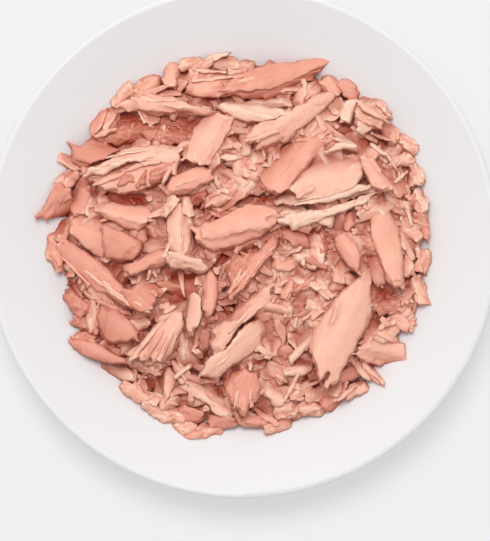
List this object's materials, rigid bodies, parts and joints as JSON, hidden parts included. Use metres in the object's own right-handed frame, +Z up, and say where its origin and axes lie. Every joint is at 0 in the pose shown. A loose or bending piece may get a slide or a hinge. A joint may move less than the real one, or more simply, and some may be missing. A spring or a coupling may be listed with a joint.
{
  "type": "plate of flaked tuna cat food",
  "caption": "Round white side plate with a low foot ring, holding a loose round heap of flaked pink cooked tuna for a cat.",
  "frame": {"origin": "middle of the plate's foot ring, on the surface that the plate stands on", "axes": "+Z up along the plate's axis; +X and +Y lie on the table, with +Y towards the far side of the plate in the front view"},
  "size_m": [0.17, 0.17, 0.0244],
  "materials": {
    "plate": "gloss",
    "tuna": "satin"
  },
  "bodies": {
    "root": {"plate": "plate", "flaked_tuna": "tuna"}
  },
  "joints": []
}
